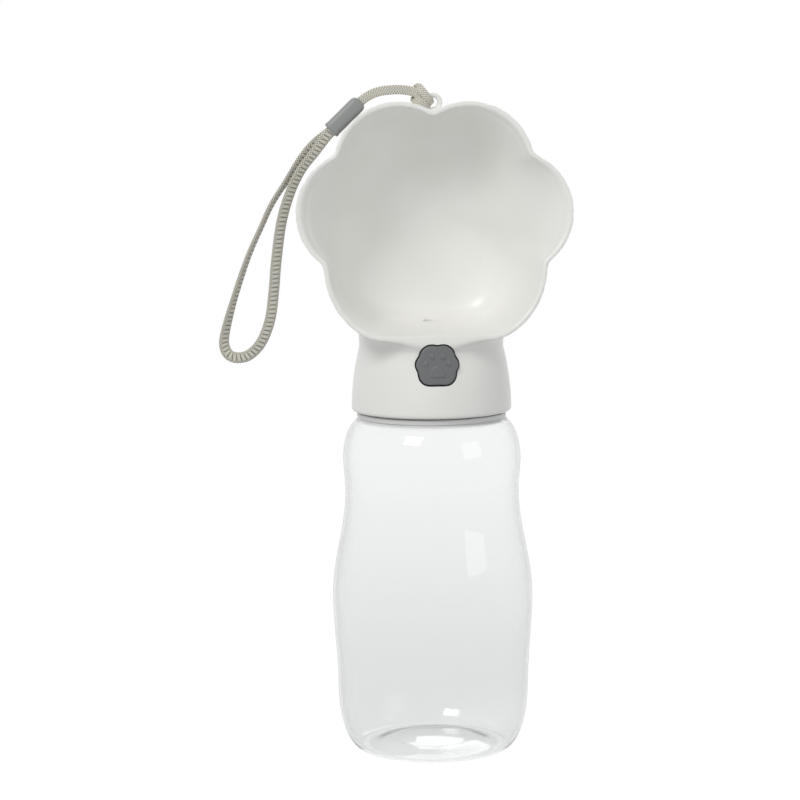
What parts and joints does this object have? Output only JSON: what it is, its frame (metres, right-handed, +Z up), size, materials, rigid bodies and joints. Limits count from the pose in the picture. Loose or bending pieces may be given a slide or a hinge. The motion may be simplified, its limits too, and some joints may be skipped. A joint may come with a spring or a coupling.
{
  "type": "pet travel water bottle",
  "caption": "Clear screw-top bottle with a paw-shaped drinking bowl for a head, a push-button water valve in its collar and a braided wrist strap.",
  "frame": {"origin": "middle of the bottle's base, on the surface that it stands on", "axes": "+Z up along the bottle, -Y out of the drinking bowl and the button, +X to the right seen from the front"},
  "size_m": [0.1295, 0.075, 0.2479],
  "materials": {
    "clear_plastic": "clear, gloss",
    "white_shell": "satin moulded",
    "white_inner": "moulded",
    "grey_button": "satin",
    "grey_sleeve": "satin",
    "stem_plastic": "moulded",
    "silicone": "matte, translucent",
    "steel": "bright",
    "braid": "woven"
  },
  "bodies": {
    "bottle": {"bottle": "clear_plastic"},
    "gasket": {"neck_gasket": "silicone"},
    "plug_ring": {"plug_o_ring": "silicone"},
    "head": {"head_shell": "white_shell", "inner_cap": "white_inner", "outlet_grommet": "silicone", "stem_seal": "silicone", "spring_seat_washer": "steel", "return_spring": "steel", "rear_plug": "white_inner", "rear_plug_o_ring": "silicone", "strap_hitch": "braid", "strap_tether": "braid", "sleeve_front_half": "grey_sleeve", "sleeve_back_half": "grey_sleeve", "wrist_loop": "braid"},
    "plunger": {"button_cap": "grey_button", "valve_stem": "stem_plastic", "valve_seal_disc": "silicone", "seal_retainer": "stem_plastic"}
  },
  "joints": [
    {"name": "head_lift", "type": "slide", "parent": "bottle", "child": "gasket", "axis": [0, 0, 1], "range_m": [0, 0.06]},
    {"name": "head_rise", "type": "slide", "parent": "gasket", "child": "plug_ring", "axis": [0, 0, 1], "range_m": [0, 0.00601]},
    {"name": "head_turn", "type": "hinge", "parent": "plug_ring", "child": "head", "pos_m": [0, 0, 0.13], "axis": [0, 0, 1], "range_deg": [0, 540]},
    {"name": "button_press", "type": "slide", "parent": "head", "child": "plunger", "axis": [0, 1, 0], "range_m": [0, 0.0025], "stiffness_N_per_m": 400, "springref_m": -0.005, "deforming": ["return_spring"]}
  ],
  "couplings": [
    {"joint": "head_rise", "follows": "head_turn", "m_per_rad": 0.00063662}
  ]
}
